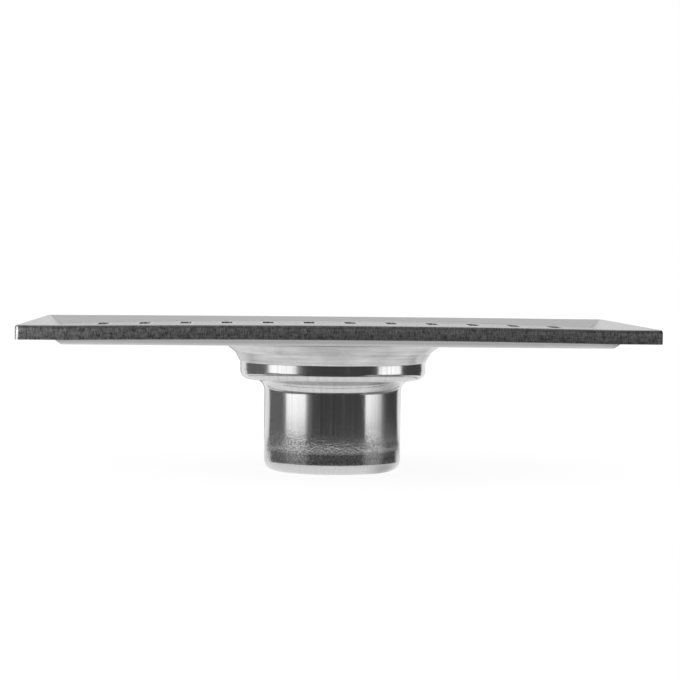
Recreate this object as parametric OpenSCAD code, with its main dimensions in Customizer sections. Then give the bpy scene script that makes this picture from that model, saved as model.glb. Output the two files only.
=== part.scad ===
// Floor drain with a slotted cover, a drawn bowl and a removable water trap.
// Sizes are in millimetres. The origin is the middle of the outlet's lower end, +Z is up,
// X runs along the frame and Y from its front edge to its back edge.

/* [Frame] */
// Length of the frame over its skirt
frame_w = 220; // [190:1:320]
// Depth of the frame over its skirt
frame_d = 130; // [122:1:240]
// Thickness of the frame sheet
frame_t = 1.0; // [0.8:0.1:1.5]
// Height of the turned-down skirt
skirt_h = 5.0; // [5:0.1:12]
// Outer radius of the fold between skirt and rim
fold_r = 1.0; // [0.3:0.1:1.5]
// Outer radius of the frame's upright corners
corner_r = 1.6; // [0.5:0.1:3]
// Fall of the sloping rim, in degrees
rim_angle = 31; // [25:1:40]
// Drop from the crest of the rim to the ledge
ledge_drop = 4.0; // [3.5:0.1:4]
// Width of the ledge that carries the cover
ledge_w = 4.4; // [4:0.1:8]
// Fall of the slope between ledge and pan floor, in degrees
pan_angle = 40; // [25:1:60]
// Drop from the crest of the rim to the pan floor
pan_drop = 6.1; // [5.8:0.1:9]
// Radius of the pressed bends, on their upper face
bend_r = 0.6; // [0.3:0.1:1.5]
// Rise of the front edge at its middle
rim_bow = 0.7; // [0:0.1:1]
// Share of that rise which the back edge has
back_bow = 0.3; // [0:0.1:1]

/* [Bowl] */
// Thickness of the bowl's wall
bowl_t = 1.0; // [0.8:0.1:1.5]
// Diameter of the weld seam between bowl and pan floor
seam_d = 84; // [80:1:88]
// Root gap of that seam
seam_gap = 0.05; // [0.02:0.01:0.1]
// Width of the flat lip inside the seam
lip_w = 0.8; // [0.5:0.1:1.5]
// Outer diameter at the foot of the conical dish
dish_d = 72; // [70:0.5:76]
// Height of the conical dish
dish_h = 3.9; // [3:0.1:10]
// Height of the short ring under the dish
ring_h = 3.7; // [2.5:0.1:10]
// Outer diameter of the collar
collar_d = 67.8; // [66:0.2:69]
// Height of the collar, down to the shoulder
collar_h = 6.2; // [6.2:0.1:12]
// Outer radius between collar and shoulder
collar_r = 3.2; // [2:0.1:4]
// Outer radius between shoulder and outlet
neck_r = 4.5; // [2:0.1:5]
// Outer diameter of the outlet spigot
outlet_d = 50; // [48:0.5:52]
// Length of the outlet spigot under the shoulder
outlet_len = 33.5; // [30:0.5:80]
// Outer radius at the lower end of the spigot
outlet_r = 3.7; // [2.5:0.1:5]
// Diameter of the hole inside the turned-in lip
outlet_hole_d = 39; // [30:0.5:40]

/* [Cover] */
// Thickness of the cover sheet
cover_t = 1.0; // [0.8:0.1:1.2]
// Gap between the cover's edge and the foot of the rim
cover_gap = 0.8; // [0.5:0.1:1.5]
// Radius of the cover's corners
cover_r = 2.0; // [1:0.5:6]
// Rise of the crowned cover at its middle
cover_crown = 1.35; // [0.8:0.05:1.6]
// Width of one slot
slot_w = 4.1; // [3:0.1:8]
// Length of one slot, end to end
slot_len = 20; // [8:1:30]
// Distance between slots, middle to middle
slot_pitch = 15.65; // [9:0.05:25]
// Least margin between the end slots and the cover's ends
end_margin = 13; // [8:0.5:30]
// Margin between a row of slots and the cover's long edge
row_margin = 13; // [6:0.5:20]
// Diameter of the pressed nibs that the cover stands on
nib_d = 3.2; // [2:0.2:4]
// Height of those nibs
nib_h = 0.3; // [0.2:0.1:0.6]
// Distance of a nib from the cover's end
nib_end = 2.4; // [2:0.1:3]
// Distance of a nib from the cover's long edge
nib_side = 14.5; // [8:0.5:30]

/* [Stiffeners] */
// Width of one bar under the cover
bar_w = 3; // [2:0.5:6]
// Distance of the bars from the middle line
bar_y = 14; // [9:0.5:20]
// Distance of the bars' ends from the cover's ends
bar_end = 14; // [9:1:40]
// Room between the bars and the pan floor
bar_gap = 0.3; // [0.2:0.1:0.6]

/* [Trap] */
// Height of the trap's flange
flange_h = 6.4; // [6.2:0.1:8]
// Room between the flange and the collar
flange_gap = 0.6; // [0.4:0.1:0.9]
// Thickness of the seal ring
seal_t = 2.8; // [2.4:0.1:3]
// Room around the seal ring
seal_gap = 0.05; // [0.02:0.01:0.1]
// Outer diameter of the dip tube
dip_d = 32; // [26:0.5:33]
// Wall of the trap's mouldings
trap_t = 1.5; // [1.2:0.1:2]
// Distance from the dip tube's lower end to the cup's floor
dip_gap = 4.4; // [3:0.2:6]
// Room between the cup and the spigot's wall
cup_gap = 2.5; // [2:0.1:3]
// Room between the cup and the turned-in lip
cup_foot_gap = 3.0; // [2.5:0.1:5]
// Height of the cup
cup_h = 23; // [16:0.5:24]
// Rounding of the cup's foot
cup_r = 4; // [2:0.5:5]
// Length of the sleeve that holds the cup on the dip tube
sleeve_len = 5; // [4:0.5:6]
// Running room between sleeve and dip tube
sleeve_gap = 0.05; // [0.02:0.01:0.1]
// Width of the grip bar across the funnel
grip_w = 3; // [2:0.5:4]
// Height of the grip bar
grip_h = 4; // [3:0.5:5]

/* [Strainer] */
// Thickness of the strainer disc
strainer_t = 0.8; // [0.6:0.1:1.2]
// Rise of the strainer's middle over its rim
strainer_rise = 2.2; // [1.5:0.1:3]
// Width of the strainer's flat rim
strainer_rim = 3.4; // [2.5:0.1:4]
// Diameter of the strainer's holes
strainer_hole_d = 4.0; // [3:0.2:4.6]
// Distance between the rings of holes
strainer_pitch = 6.0; // [5.6:0.1:7]
// Diameter of the knob
knob_d = 9; // [7:0.5:9]
// Height of the knob over the strainer
knob_h = 4.5; // [3.5:0.1:4.8]
// Diameter of the knob's riveted shank
shank_d = 3.6; // [3:0.1:4.4]

/* [Hidden] */

// Fineness of the turned shapes, of rounded outlines and of the crowned cover
turn_steps = 96;
arc_steps = 8;
crown_steps = 32;
bow_steps = 16;
corner_steps = 6;
cut = 1; // how far a cutting tool stands past the face that it cuts

// Heights, from the outlet's lower end upwards
shoulder_z = outlet_len;
collar_z = shoulder_z + collar_h;
ring_z = collar_z + ring_h;
floor_under_z = ring_z + dish_h;
floor_z = floor_under_z + frame_t;
rim_z = floor_z + pan_drop;
ledge_z = rim_z - ledge_drop;
seat_z = shoulder_z + bowl_t;

// Insets of the frame's bends from its outer face
fold_rise = fold_r * (1 / cos(rim_angle) + tan(rim_angle) - 1);
rim_foot = (ledge_drop + fold_rise) / tan(rim_angle);
ledge_end = rim_foot + ledge_w;
floor_start = ledge_end + (pan_drop - ledge_drop) / tan(pan_angle);
floor_run = 3; // level stretch that closes the pressed outline
inner_corner_r = 0.5; // radius of the pressed outline's inner corners

// The cover
cover_hx = frame_w / 2 - rim_foot - cover_gap;
cover_hy = frame_d / 2 - rim_foot - cover_gap;
cover_end_z = ledge_z + nib_h; // underside of the cover at its ends
slot_count = floor((2 * (cover_hx - end_margin) - slot_w) / slot_pitch) + 1;
row_y = cover_hy - row_margin - slot_len / 2;

// The trap
collar_ri = collar_d / 2 - bowl_t;
outlet_ri = outlet_d / 2 - bowl_t;
flange_r = collar_ri - flange_gap;
flange_z = seat_z + flange_h;
seal_r = collar_ri - seal_gap - seal_t / 2;
groove_r = seal_r - seal_t / 2 - seal_gap;
groove_lo = seat_z + collar_r - bowl_t + seal_gap;
groove_hi = groove_lo + seal_t + 2 * seal_gap;
seal_z = (groove_lo + groove_hi) / 2;
seat_ro = collar_d / 2 - collar_r - 0.5; // the flange bears on the flat of the shoulder up to here
dip_ro = dip_d / 2;
dip_ri = dip_ro - trap_t;
funnel_ro = outlet_ri + 0.5; // the funnel starts to fall just inside the neck
funnel_drop = 4.5;
mouth_r = groove_r - 2.2;
cup_ro = outlet_ri - cup_gap;
cup_ri = cup_ro - trap_t;
cup_z = bowl_t + cup_foot_gap;
cup_top = cup_z + cup_h;
dip_z = cup_z + trap_t + dip_gap;
sleeve_ri = dip_ro + sleeve_gap;
sleeve_z = seat_z - funnel_drop - sleeve_gap;
rib_w = 2;

// The strainer
strainer_r = flange_r - 0.9;
strainer_top = flange_z + strainer_rise + strainer_t;
shank_gap = 0.1;

function unit(v) = v / norm(v);
function right_of(p, q) = let (d = unit(q - p)) [d[1], -d[0]];
function xy(p) = [p[0], p[1]];
function turn_within(a) = a > 180 ? a - 360 : a < -180 ? a + 360 : a;
function reversed(list) = [for (i = [len(list) - 1:-1:0]) list[i]];

// The middle of the arc of radius r that rounds the corner b between a and c, and where the arc meets b-a
function arc_centre(a, b, c, r) =
    let (u = unit(a - b),
         v = unit(c - b))
    b + unit(u + v) * r / sin(acos(u * v) / 2);
function arc_end(a, b, c, r) =
    let (u = unit(a - b),
         v = unit(c - b))
    b + u * r / tan(acos(u * v) / 2);

// That arc in straight steps
function corner_arc(a, b, c, r) =
    let (centre = arc_centre(a, b, c, r),
         first = arc_end(a, b, c, r) - centre,
         last = arc_end(c, b, a, r) - centre,
         start = atan2(first[1], first[0]),
         turn = turn_within(atan2(last[1], last[0]) - start))
    [for (i = [0:arc_steps])
        centre + r * [cos(start + turn * i / arc_steps), sin(start + turn * i / arc_steps)]];
function arc_at(corners, i) =
    corner_arc(xy(corners[i - 1]), xy(corners[i]), xy(corners[i + 1]), corners[i][2]);

// An open outline of corners [x, y, radius] with those corners rounded
function rounded(corners) =
    [for (i = [0:len(corners) - 1])
        each (corners[i][2] == 0 ? [xy(corners[i])] : arc_at(corners, i))];

// The directions to the right of an outline before and after a corner
function rights_at(corners, i) =
    [right_of(xy(corners[i - 1]), xy(corners[i])), right_of(xy(corners[i]), xy(corners[i + 1]))];

// 1 where the outline turns left at a corner, -1 where it turns right
function turn_side(n) = sign(n[0][0] * n[1][1] - n[0][1] * n[1][0]);
function is_square(n) = abs(n[0] * n[1]) < 0.000001;

// The same outline moved t to its right, its radii growing or shrinking by t
function moved_right(corners, t) =
    let (last = len(corners) - 1)
    [for (i = [0:last])
        let (p = xy(corners[i]),
             n0 = i > 0 ? right_of(xy(corners[i - 1]), p) : right_of(p, xy(corners[1])),
             n1 = i < last ? right_of(p, xy(corners[i + 1])) : n0,
             q = p + t * (n0 + n1) / (1 + n0 * n1),
             r = corners[i][2])
        [q[0], q[1], r == 0 ? 0 : max(r + turn_side([n0, n1]) * t, 0)]];

// Corner i, the ends of the arc that rounds it, and between them the arc's middle
function kite(corners, i) =
    let (a = xy(corners[i - 1]),
         b = xy(corners[i]),
         c = xy(corners[i + 1]),
         r = corners[i][2])
    [b, arc_end(a, b, c, r), arc_centre(a, b, c, r), arc_end(c, b, a, r)];

// One side of the section of a sheet t thick on the right of an outline, before its square corners are
// rounded: they stay sharp where the outline turns towards the sheet, and take in the whole kite where
// it turns away. The shallow bends are already rounded in straight steps.
function section_side(corners, t) =
    [for (i = [0:len(corners) - 1])
        let (bend = corners[i][2] > 0,
             n = bend ? rights_at(corners, i) : [],
             shape = bend ? kite(corners, i) : [])
        each (!bend ? [xy(corners[i])]
            : !is_square(n) ? arc_at(corners, i)
            : turn_side(n) * t > 0 ? [shape[1], shape[2], shape[3]]
            : [xy(corners[i])])];

// The frame's pressed section, as inset and height, from the skirt's edge to the pan floor
frame_corners = [
    [0, rim_z - skirt_h, 0],
    [0, rim_z + fold_rise, fold_r],
    [rim_foot, ledge_z, bend_r],
    [ledge_end, ledge_z, bend_r],
    [floor_start, floor_z, bend_r],
    [floor_start + floor_run, floor_z, 0]
];

// How much of the front edge's rise a point takes: all of it at the skirt, none at the pan floor
// and none beyond the ends of the pan floor, where the ledge stays level
function bow_share(inset) = min(max((floor_start - inset) / (floor_start - frame_t), 0), 1);
function bow(x, y, inset) =
    let (across = max(1 - pow(x / (frame_w / 2 - floor_start), 2), 0),
         back = y / frame_d + 0.5)
    rim_bow * across * bow_share(inset) * (1 - back + back * back_bow);

// One closed ring of points round the frame at an inset, its long sides split for the bow
function frame_ring(inset, z) =
    let (hx = frame_w / 2 - inset,
         hy = frame_d / 2 - inset,
         r = max(corner_r - inset, inner_corner_r),
         flat = concat(
             [for (i = [0:corner_steps]) let (a = 180 + 90 * i / corner_steps)
                 [r - hx + r * cos(a), r - hy + r * sin(a)]],
             [for (i = [1:bow_steps - 1]) [(hx - r) * (2 * i / bow_steps - 1), -hy]],
             [for (i = [0:corner_steps]) let (a = 270 + 90 * i / corner_steps)
                 [hx - r + r * cos(a), r - hy + r * sin(a)]],
             [for (i = [0:corner_steps]) let (a = 90 * i / corner_steps)
                 [hx - r + r * cos(a), hy - r + r * sin(a)]],
             [for (i = [1:bow_steps - 1]) [(hx - r) * (1 - 2 * i / bow_steps), hy]],
             [for (i = [0:corner_steps]) let (a = 90 + 90 * i / corner_steps)
                 [r - hx + r * cos(a), hy - r + r * sin(a)]]))
    [for (p = flat) [p[0], p[1], z + bow(p[0], p[1], inset)]];

// A solid skinned over closed rings that follow each other from the upper cap to the lower one
module ring_skin(rings) {
    n = len(rings[0]);
    last = len(rings) - 1;
    points = [for (ring = rings) each ring];
    sides = [for (k = [0:last - 1], i = [0:n - 1])
        let (j = (i + 1) % n)
        each [[k * n + i, k * n + j, (k + 1) * n + j], [k * n + i, (k + 1) * n + j, (k + 1) * n + i]]];
    upper = [for (i = [n - 1:-1:0]) i];
    lower = [for (i = [0:n - 1]) last * n + i];
    polyhedron(points = points, faces = concat([upper], sides, [lower]), convexity = 8);
}

// The crown of the cover over its ends, at x, in straight steps from one fold line to the next
function fold_x(i) = cover_hx * (2 * i / crown_steps - 1);
function fold_rise_at(i) = cover_crown * (1 - pow(fold_x(i) / cover_hx, 2));
function crown(x) =
    let (s = (x / cover_hx + 1) * crown_steps / 2,
         i = min(floor(s), crown_steps - 1))
    fold_rise_at(i) + (s - i) * (fold_rise_at(i + 1) - fold_rise_at(i));

// A line along the crown from -hx to hx, lifted over the cover's underside
function crown_line(hx, lift) =
    let (xs = concat([-hx], [for (i = [0:crown_steps]) if (abs(fold_x(i)) < hx) fold_x(i)], [hx]))
    [for (x = xs) [x, cover_end_z + crown(x) + lift]];

// The section of a sheet t thick on the right of an open outline. Its square corners get true arcs.
module sheet_section(corners, t) {
    moved = moved_right(corners, t);
    difference() {
        polygon(concat(section_side(corners, t), reversed(section_side(moved, -t))));
        for (i = [1:len(corners) - 2]) {
            corner_waste(corners, i, t);
            corner_waste(moved, i, -t);
        }
    }
}

// What comes off such a section at a square corner: what lies outside the arc where the outline turns
// towards the sheet, and what lies inside it where it turns away
module corner_waste(corners, i, t) {
    n = rights_at(corners, i);
    if (corners[i][2] > 0 && is_square(n)) {
        shape = kite(corners, i);
        if (turn_side(n) * t < 0)
            difference() {
                polygon(shape);
                bend_circle(shape[2], corners[i][2]);
            }
        else
            intersection() {
                polygon(shape);
                bend_circle(shape[2], corners[i][2]);
            }
    }
}

module bend_circle(centre, r) {
    translate(centre)
        circle(r = r, $fn = 48);
}

// Extrudes an outline in X and Z over a width in Y, centred at y
module across(y, width) {
    translate([0, y + width / 2, 0])
        rotate([90, 0, 0])
            linear_extrude(height = width)
                children();
}

module slot_cutter(length, width, height) {
    run = length - width;
    translate([-width / 2, -run / 2, 0])
        cube([width, run, height]);
    for (side = [-1, 1])
        translate([0, side * run / 2, 0])
            cylinder(h = height, d = width, $fn = 32);
}

// What rounding an upright corner with radius r takes away, with the middle of the arc at the origin
module corner_cutter(r, height) {
    difference() {
        cube([r + cut, r + cut, height]);
        translate([0, 0, -cut])
            cylinder(h = height + 2 * cut, r = r, $fn = 48);
    }
}

module top_frame() {
    upper = reversed(rounded(frame_corners));
    under = rounded(moved_right(frame_corners, frame_t));
    color([0.62, 0.63, 0.64])
        difference() {
            ring_skin([for (p = concat(upper, under)) frame_ring(p[0], p[1])]);
            translate([0, 0, floor_under_z - cut])
                cylinder(h = frame_t + 2 * cut, d = seam_d, $fn = turn_steps);
        }
}

module drain_bowl() {
    rim_r = seam_d / 2 - seam_gap;
    corners = [
        [rim_r, floor_under_z, 0],
        [rim_r - lip_w, floor_under_z, bend_r],
        [dish_d / 2, ring_z, bend_r],
        [collar_d / 2, collar_z, bend_r],
        [collar_d / 2, shoulder_z, collar_r],
        [outlet_d / 2, shoulder_z, neck_r],
        [outlet_d / 2, 0, outlet_r],
        [outlet_hole_d / 2, 0, 0]
    ];
    color([0.78, 0.79, 0.80])
        rotate_extrude($fn = turn_steps)
            sheet_section(corners, bowl_t);
}

module grate() {
    nib_x = cover_hx - nib_end;
    nib_y = cover_hy - nib_side;
    nib_z = cover_end_z + crown(nib_x);
    slab_h = cover_crown + 2 * (cover_t + cut);
    color([0.66, 0.67, 0.68]) {
        difference() {
            across(0, 2 * cover_hy)
                polygon(concat(crown_line(cover_hx, 0), reversed(crown_line(cover_hx, cover_t))));
            for (x = [0, 1], y = [0, 1])
                mirror([x, 0, 0])
                    mirror([0, y, 0])
                        translate([cover_hx - cover_r, cover_hy - cover_r, cover_end_z - cut])
                            corner_cutter(cover_r, slab_h);
            for (i = [0:slot_count - 1], side = [-1, 1])
                translate([(i - (slot_count - 1) / 2) * slot_pitch, side * row_y, cover_end_z - cut])
                    slot_cutter(slot_len, slot_w, slab_h);
            for (x = [-1, 1], y = [-1, 1])
                translate([x * nib_x, y * nib_y, nib_z + cover_t - nib_h])
                    cylinder(h = nib_h + cut, d1 = nib_d - 4 * nib_h, d2 = nib_d + 4 * cut, $fn = 32);
        }
        for (x = [-1, 1], y = [-1, 1])
            translate([x * nib_x, y * nib_y, ledge_z])
                cylinder(h = nib_z - ledge_z + cover_t / 3, d = nib_d, $fn = 32);
    }
}

module grate_stiffeners() {
    bar_hx = cover_hx - bar_end;
    foot_z = floor_z + bar_gap;
    color([0.60, 0.61, 0.62])
        for (side = [-1, 1])
            across(side * bar_y, bar_w)
                polygon(concat([[-bar_hx, foot_z], [bar_hx, foot_z]], reversed(crown_line(bar_hx, 0))));
}

module hair_strainer() {
    step_ro = strainer_r - strainer_rim;
    step_ri = step_ro - strainer_rise;
    ring_count = floor((step_ri - strainer_hole_d / 2) / strainer_pitch);
    color([0.70, 0.71, 0.72])
        difference() {
            rotate_extrude($fn = turn_steps)
                polygon([
                    [0, strainer_top], [step_ri, strainer_top],
                    [step_ro, flange_z + strainer_t], [strainer_r, flange_z + strainer_t],
                    [strainer_r, flange_z], [step_ro - strainer_t / 2, flange_z],
                    [step_ri - strainer_t / 2, strainer_top - strainer_t], [0, strainer_top - strainer_t]
                ]);
            translate([0, 0, flange_z])
                cylinder(h = strainer_rise + strainer_t + cut, d = shank_d + 2 * shank_gap, $fn = 32);
            for (ring = [1:ring_count], i = [0:6 * ring - 1])
                rotate([0, 0, 60 * i / ring])
                    translate([ring * strainer_pitch, 0, flange_z])
                        cylinder(h = strainer_rise + strainer_t + cut, d = strainer_hole_d, $fn = 24);
        }
}

module strainer_knob() {
    neck_ro = knob_d / 4;
    head_h = knob_h / 2;
    rivet_ro = shank_d / 2 + 1;
    under_z = strainer_top - strainer_t;
    corners = [
        [0, strainer_top + knob_h, 0],
        [knob_d / 2, strainer_top + knob_h, head_h / 3],
        [knob_d / 2, strainer_top + knob_h - head_h, head_h / 3],
        [neck_ro, strainer_top + knob_h - head_h, 0],
        [neck_ro, strainer_top, 0]
    ];
    color([0.70, 0.71, 0.72])
        rotate_extrude($fn = turn_steps)
            difference() {
                polygon(concat([for (c = corners) xy(c)], [
                    [shank_d / 2, strainer_top], [shank_d / 2, under_z],
                    [rivet_ro, under_z], [shank_d / 2, under_z - 1], [0, under_z - 1]
                ]));
                corner_waste(corners, 1, 1);
                corner_waste(corners, 2, 1);
            }
}

module trap_tube() {
    funnel_z = seat_z - funnel_drop;
    wall_rise = trap_t * 1.4;
    grip_z = funnel_z + wall_rise;
    color([0.20, 0.21, 0.22]) {
        rotate_extrude($fn = turn_steps)
            polygon([
                [mouth_r, flange_z], [flange_r, flange_z],
                [flange_r, groove_hi], [groove_r, groove_hi],
                [groove_r, groove_lo], [seat_ro + 0.8, groove_lo],
                [seat_ro + 0.8, seat_z + 0.8], [seat_ro, seat_z],
                [funnel_ro, seat_z], [dip_ro, funnel_z],
                [dip_ro, dip_z], [dip_ri, dip_z],
                [dip_ri, funnel_z + wall_rise], [mouth_r, seat_z + wall_rise]
            ]);
        translate([-dip_ri - trap_t / 2, -grip_w / 2, grip_z])
            cube([2 * dip_ri + trap_t, grip_w, grip_h]);
    }
}

module trap_cup() {
    sleeve_ro = sleeve_ri + trap_t;
    sleeve_low = sleeve_z - sleeve_len;
    corners = [
        [0, cup_z, 0],
        [cup_ro, cup_z, cup_r],
        [cup_ro, cup_top, 0]
    ];
    color([0.20, 0.21, 0.22]) {
        rotate_extrude($fn = turn_steps)
            sheet_section(corners, -trap_t);
        rotate_extrude($fn = turn_steps)
            polygon([
                [sleeve_ri, sleeve_low], [sleeve_ro, sleeve_low],
                [sleeve_ro, sleeve_z], [sleeve_ri, sleeve_z]
            ]);
        for (i = [0:2])
            rotate([0, 0, 120 * i + 90])
                translate([sleeve_ro - trap_t / 2, -rib_w / 2, sleeve_low])
                    cube([cup_ri + trap_t / 2 - sleeve_ro + trap_t / 2, rib_w, cup_top - sleeve_low]);
    }
}

module flange_seal() {
    color([0.08, 0.08, 0.08])
        rotate_extrude($fn = turn_steps)
            translate([seal_r, seal_z])
                circle(d = seal_t, $fn = 32);
}

top_frame();
drain_bowl();
grate();
grate_stiffeners();
hair_strainer();
strainer_knob();
trap_tube();
trap_cup();
flange_seal();
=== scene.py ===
# %% [markdown]
# # A stainless steel floor drain
# The object is a rectangular floor drain: a pressed sheet frame with a slotted cover lying in it, and a
# drawn bowl welded under the middle with a straight outlet spigot. A lift-out water trap sits in the bowl.
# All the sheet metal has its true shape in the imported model, so this script is mostly about finishes: how a
# brushed, a polished and a drawn surface differ although all of them are the same steel.

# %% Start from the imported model
import math

import bmesh
import bpy
from mathutils import Matrix


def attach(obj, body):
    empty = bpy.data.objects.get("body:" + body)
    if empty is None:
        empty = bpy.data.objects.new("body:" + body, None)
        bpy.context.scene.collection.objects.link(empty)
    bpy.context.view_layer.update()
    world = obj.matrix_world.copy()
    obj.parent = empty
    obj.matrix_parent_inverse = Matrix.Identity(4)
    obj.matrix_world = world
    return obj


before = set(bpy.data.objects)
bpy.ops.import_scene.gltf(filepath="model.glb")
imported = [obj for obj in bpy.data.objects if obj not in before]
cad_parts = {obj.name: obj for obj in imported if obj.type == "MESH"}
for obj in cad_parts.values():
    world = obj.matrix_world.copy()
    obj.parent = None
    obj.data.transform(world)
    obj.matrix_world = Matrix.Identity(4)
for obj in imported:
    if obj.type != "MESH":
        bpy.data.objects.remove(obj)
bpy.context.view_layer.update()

MM = 0.001      # Blender counts in metres, and the sizes of a drain are given in millimetres
print("nodes:", ", ".join(sorted(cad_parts)))

# %% [markdown]
# ## Colours and nodes
# A colour picker shows sRGB values, while the shaders calculate with linear ones. One function turns a hex
# colour into linear values, so that every colour below can be written as a painter would read it.
# The second helper adds one shader node with its settings and its links. A node can be handed to it in
# place of a value, and then stands for its result, so a material reads like a short calculation.

# %% Helpers for materials
def srgb(code):
    """A hex colour such as #c0c0c0 as linear red, green, blue and alpha."""
    values = [int(code[i:i + 2], 16) / 255 for i in (1, 3, 5)]
    return [v / 12.92 if v <= 0.04045 else ((v + 0.055) / 1.055) ** 2.4 for v in values] + [1.0]


def add(tree, kind, inputs=None, **settings):
    """Adds a node, sets its properties, and gives each named input a value or a link.

    A node given as a value stands for the first of its outputs that is in use."""
    node = tree.nodes.new(kind)
    for name, value in settings.items():
        setattr(node, name, value)
    for key, value in (inputs or {}).items():
        if isinstance(value, bpy.types.Node):
            value = next(output for output in value.outputs if output.enabled)
        if isinstance(value, bpy.types.NodeSocket):
            tree.links.new(value, node.inputs[key])
        else:
            node.inputs[key].default_value = value
    return node


def new_material(name):
    """An empty node material, and the tree to build in."""
    made = bpy.data.materials.new(name)
    made.use_nodes = True
    made.node_tree.nodes.clear()
    return made, made.node_tree


print("mid grey #808080 is", round(srgb("#808080")[0], 3), "in linear light")

# %% [markdown]
# ## The camera
# The photograph looks along the drain from just above its rim, with a long lens, so the plate shows as a
# thin band. The place and the angles were worked out from the corners of the plate and the ellipses of the
# bowl. A camera turns about its own axes, so the three turns are multiplied: first the turn to the side,
# then the tilt down, then the small roll.

# %% Camera
CAMERA_PLACE = (-34.2 * MM, -828.6 * MM, 78.6 * MM)
CAMERA_LENS = 119.64      # millimetres
SENSOR_WIDTH = 36         # millimetres
CAMERA_TURN = 2.539       # degrees to the right of straight ahead
CAMERA_TILT = 2.132       # degrees below level
CAMERA_ROLL = 0.560       # degrees, the right end of the picture lower
NEAREST, FARTHEST = 0.05, 30      # metres that the camera can see

camera_data = bpy.data.cameras.new("camera")
camera_data.lens = CAMERA_LENS
camera_data.sensor_width = SENSOR_WIDTH
camera_data.clip_start = NEAREST
camera_data.clip_end = FARTHEST
camera = bpy.data.objects.new("camera", camera_data)
bpy.context.scene.collection.objects.link(camera)
turned = (Matrix.Rotation(math.radians(-CAMERA_TURN), 4, "Z")
          @ Matrix.Rotation(math.radians(90 - CAMERA_TILT), 4, "X")
          @ Matrix.Rotation(math.radians(CAMERA_ROLL), 4, "Z"))
camera.matrix_world = Matrix.Translation(CAMERA_PLACE) @ turned
bpy.context.scene.camera = camera
print("camera stands", round(-camera.location.y, 3), "m in front of the drain")

# %% [markdown]
# ## The white room
# A mirror-like object is lit by what it reflects, so the room matters more than the lamps. The room here is
# plain white. Rays from the camera and mirrored rays see the full white, while the world gives scattered
# light a lower level, so that matt things such as the plastic trap are lit plainly too.

# %% World
WHITE_LEVEL = 1.0
SCATTERED_LEVEL = 0.55


def seen_directly(tree):
    """1 for rays from the camera, mirrored rays and rays through glass, and 0 for scattered light."""
    path = add(tree, "ShaderNodeLightPath")
    seen = add(tree, "ShaderNodeMath", {0: path.outputs["Is Camera Ray"],
                                        1: path.outputs["Is Glossy Ray"]}, operation="MAXIMUM")
    return add(tree, "ShaderNodeMath", {0: seen, 1: path.outputs["Is Transmission Ray"]},
               operation="MAXIMUM")


world = bpy.data.worlds.new("white_room")
world.use_nodes = True
tree = world.node_tree
tree.nodes.clear()
level = add(tree, "ShaderNodeMapRange", {"Value": seen_directly(tree), "To Min": SCATTERED_LEVEL,
                                         "To Max": WHITE_LEVEL})
glow = add(tree, "ShaderNodeBackground", {"Color": srgb("#ffffff"), "Strength": level})
add(tree, "ShaderNodeOutputWorld", {"Surface": glow})
bpy.context.scene.world = world
print("world: white", WHITE_LEVEL, "where it is seen,", SCATTERED_LEVEL, "as scattered light")

# %% [markdown]
# ## The floor
# The drain stands on the lower edge of its spigot. The floor is one large sheet that glows nearly white by
# itself and scatters a little light on top, so it meets the white world without an edge and still takes
# the soft shadow under the spigot.

# %% Floor
FLOOR_SIZE = 12.0         # metres
FLOOR_GLOW = 0.88
FLOOR_COLOUR = "#8a8a8a"


def place_mesh(name, shape, material):
    """Turns finished mesh work into an object of that name, in one material."""
    data = bpy.data.meshes.new(name)
    shape.to_mesh(data)
    shape.free()
    data.materials.append(material)
    made = bpy.data.objects.new(name, data)
    bpy.context.scene.collection.objects.link(made)
    return made


floor_paper, tree = new_material("white_paper_floor")
level = add(tree, "ShaderNodeMapRange", {"Value": seen_directly(tree), "To Max": FLOOR_GLOW})
glow = add(tree, "ShaderNodeEmission", {"Color": srgb("#ffffff"), "Strength": level})
paper = add(tree, "ShaderNodeBsdfDiffuse", {"Color": srgb(FLOOR_COLOUR)})
both = add(tree, "ShaderNodeAddShader", {0: glow, 1: paper})
add(tree, "ShaderNodeOutputMaterial", {"Surface": both})

sheet = bmesh.new()
bmesh.ops.create_grid(sheet, x_segments=1, y_segments=1, size=FLOOR_SIZE / 2)
floor = place_mesh("floor", sheet, floor_paper)
print("floor:", FLOOR_SIZE, "m wide")

# %% [markdown]
# ## Cards for the polished steel
# A polished cylinder in an all-white room would look flat. Product photographers stand black cards around
# such a piece, so that its mirror image has dark bands with bright ones between them. A card here glows in
# one even grey and is seen only in reflections. Most cards are bent round the drain: one edge is spun about
# its axis, upright for a standing card and level for one on the floor. Angles are counted in degrees from
# the camera's side towards the right, so a mirror image is easy to trace back to its card.

# %% Making a card
CARD_STEPS = 24       # flat strips in a bent card
CARD_FOOT = 0.001     # metres: a standing card ends just above the floor


def card_colour(name, level):
    """A card of one even grey, whatever light falls on it."""
    made, tree = new_material(name)
    glow = add(tree, "ShaderNodeEmission", {"Color": srgb("#ffffff"), "Strength": level})
    add(tree, "ShaderNodeOutputMaterial", {"Surface": glow})
    return made


def hidden_card(name, shape, material):
    """Makes the object of a card and hides it from every ray but the mirrored ones."""
    card = place_mesh(name, shape, material)
    card.visible_camera = False
    card.visible_diffuse = False
    card.visible_shadow = False
    card.visible_transmission = False


def bent_card(name, start, end, foot, top, material):
    """A card from one angle to another: foot and top are each a distance from the axis and a height."""
    turn = math.radians(start)
    shape = bmesh.new()
    ends = [shape.verts.new((distance * math.sin(turn), -distance * math.cos(turn), height))
            for distance, height in (foot, top)]
    edge = shape.edges.new(ends)
    bmesh.ops.spin(shape, geom=ends + [edge], cent=(0, 0, 0), axis=(0, 0, 1), dvec=(0, 0, 0),
                   angle=math.radians(end - start), steps=CARD_STEPS, use_merge=False, use_duplicate=False)
    hidden_card(name, shape, material)


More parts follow.
